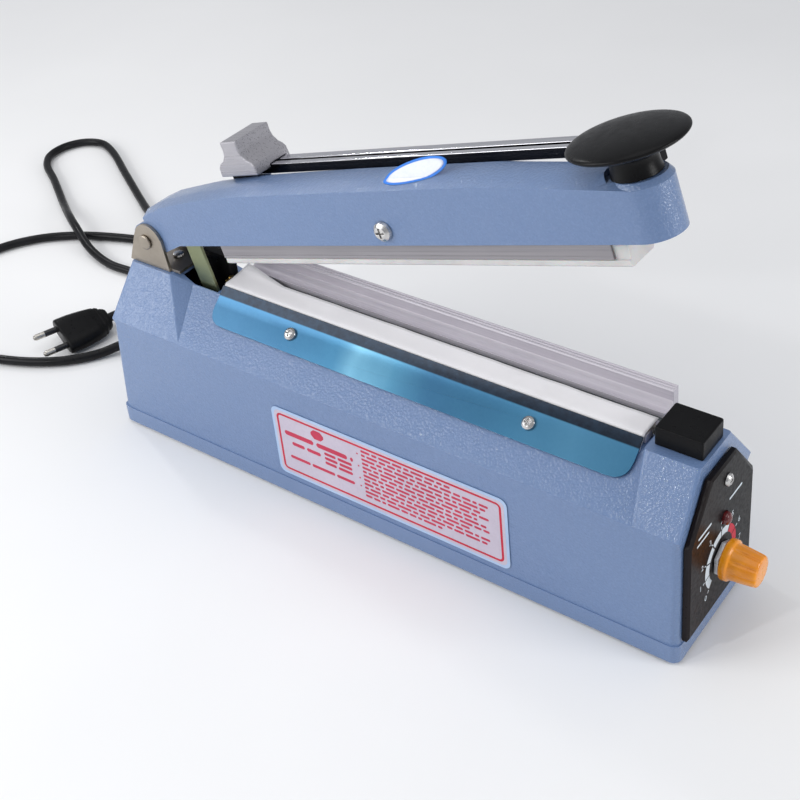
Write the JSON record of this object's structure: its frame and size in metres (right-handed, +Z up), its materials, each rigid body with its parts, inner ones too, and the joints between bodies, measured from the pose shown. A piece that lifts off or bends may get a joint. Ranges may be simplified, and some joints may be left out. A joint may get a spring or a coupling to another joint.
{
  "type": "impulse heat sealer",
  "caption": "Hand-operated impulse heat sealer with a hinged pressing arm, sliding bag cutter and timer dial, drawn with the arm open.",
  "frame": {"origin": "on the surface the feet stand on, under the middle of the sealer's own box, cord left out", "axes": "+X along the housing from the hinge end to the control panel, +Z up, and the operator stands on the -Y side"},
  "size_m": [0.8147, 0.3036, 0.3],
  "materials": {
    "enamel": "blue hammered enamel over cast aluminium",
    "steel": "plated steel",
    "zinc": "yellowish zinc plate",
    "passivated": "green zinc passivation",
    "chrome": "bright chrome",
    "aluminium": "extruded aluminium",
    "film": "polished sheet under a thin blue film",
    "ptfe": "PTFE coated glass cloth",
    "silicone": "white silicone rubber",
    "tape": "heat resistant adhesive tape",
    "nichrome": "nickel chromium ribbon",
    "black": "black moulded plastic",
    "panel": "black panel",
    "rubber": "black rubber",
    "cast_silver": "silver painted casting",
    "orange": "orange moulded plastic",
    "lens": "red lens",
    "brass": "brass",
    "board": "printed board",
    "core": "varnished laminations",
    "winding": "enamelled copper",
    "label": "printed foil label",
    "pin_metal": "plated pins with black sleeves",
    "cable": "black PVC mains lead"
  },
  "bodies": {
    "base": {"housing": "enamel", "base_plate": "steel", "base_screw_1": "steel", "base_screw_2": "steel", "base_screw_3": "steel", "base_screw_4": "steel", "clamp_screw_1": "steel", "clamp_screw_2": "steel", "panel_screw": "steel", "pot_nut": "steel", "potentiometer": "steel", "bracket_screw_1": "steel", "bracket_screw_2": "steel", "return_spring": "steel", "hinge_bracket": "zinc", "hinge_pin": "zinc", "sealing_bar": "aluminium", "clamp_plate": "film", "ptfe_sheet": "ptfe", "insulation_tape": "tape", "heating_element": "nichrome", "end_block": "black", "microswitch": "black", "plug_body": "black", "control_panel": "panel", "foot_1": "rubber", "foot_2": "rubber", "foot_3": "rubber", "foot_4": "rubber", "cord_gland": "rubber", "indicator_lamp": "lens", "terminal_1": "brass", "terminal_2": "brass", "timer_board": "board", "transformer_core": "core", "transformer_coil": "winding", "label_plate": "label", "plug_pin_1": "pin_metal", "plug_pin_2": "pin_metal", "cord": "cable", "terminal_block": "black"},
    "arm": {"arm": "enamel", "strip_holder": "aluminium", "silicone_strip": "silicone", "holder_screw_1": "steel", "holder_screw_2": "steel", "arm_screw_1": "steel", "arm_screw_2": "steel", "handle_knob": "black", "knob_stud": "steel", "cutter_rail": "chrome", "rail_mount": "black", "rail_cap": "black", "strap_pin": "steel"},
    "cutter": {"carriage": "cast_silver", "blade": "steel"},
    "link": {"link_strap": "passivated"},
    "switch": {"switch_lever": "steel"},
    "timer": {"timer_knob": "orange", "pot_shaft": "steel"}
  },
  "joints": [
    {"name": "arm_hinge", "type": "hinge", "parent": "base", "child": "arm", "pos_m": [-0.2, 0, 0.1388], "axis": [0, 1, 0], "range_deg": [0, 16.6], "stiffness_Nm_per_rad": 2, "springref_deg": -57.3, "deforming": ["return_spring"]},
    {"name": "cutter_slide", "type": "slide", "parent": "arm", "child": "cutter", "axis": [0.9583, 0, 0.2857], "range_m": [0, 0.235]},
    {"name": "link_pivot", "type": "hinge", "parent": "arm", "child": "link", "pos_m": [-0.16771, -0.007, 0.15229], "axis": [0, 1, 0], "range_deg": [-16.6, 0]},
    {"name": "switch_pivot", "type": "hinge", "parent": "base", "child": "switch", "pos_m": [-0.1028, -0.007, 0.0584], "axis": [0, 1, 0], "range_deg": [-25.3, 0]},
    {"name": "timer_turn", "type": "hinge", "parent": "base", "child": "timer", "pos_m": [0.2137, -0.0012, 0.0491], "axis": [1, 0, 0], "range_deg": [-120, 150]}
  ],
  "couplings": [
    {"joint": "link_pivot", "follows": "arm_hinge", "ratio": -1},
    {"joint": "switch_pivot", "follows": "arm_hinge", "ratio": -1.52}
  ]
}
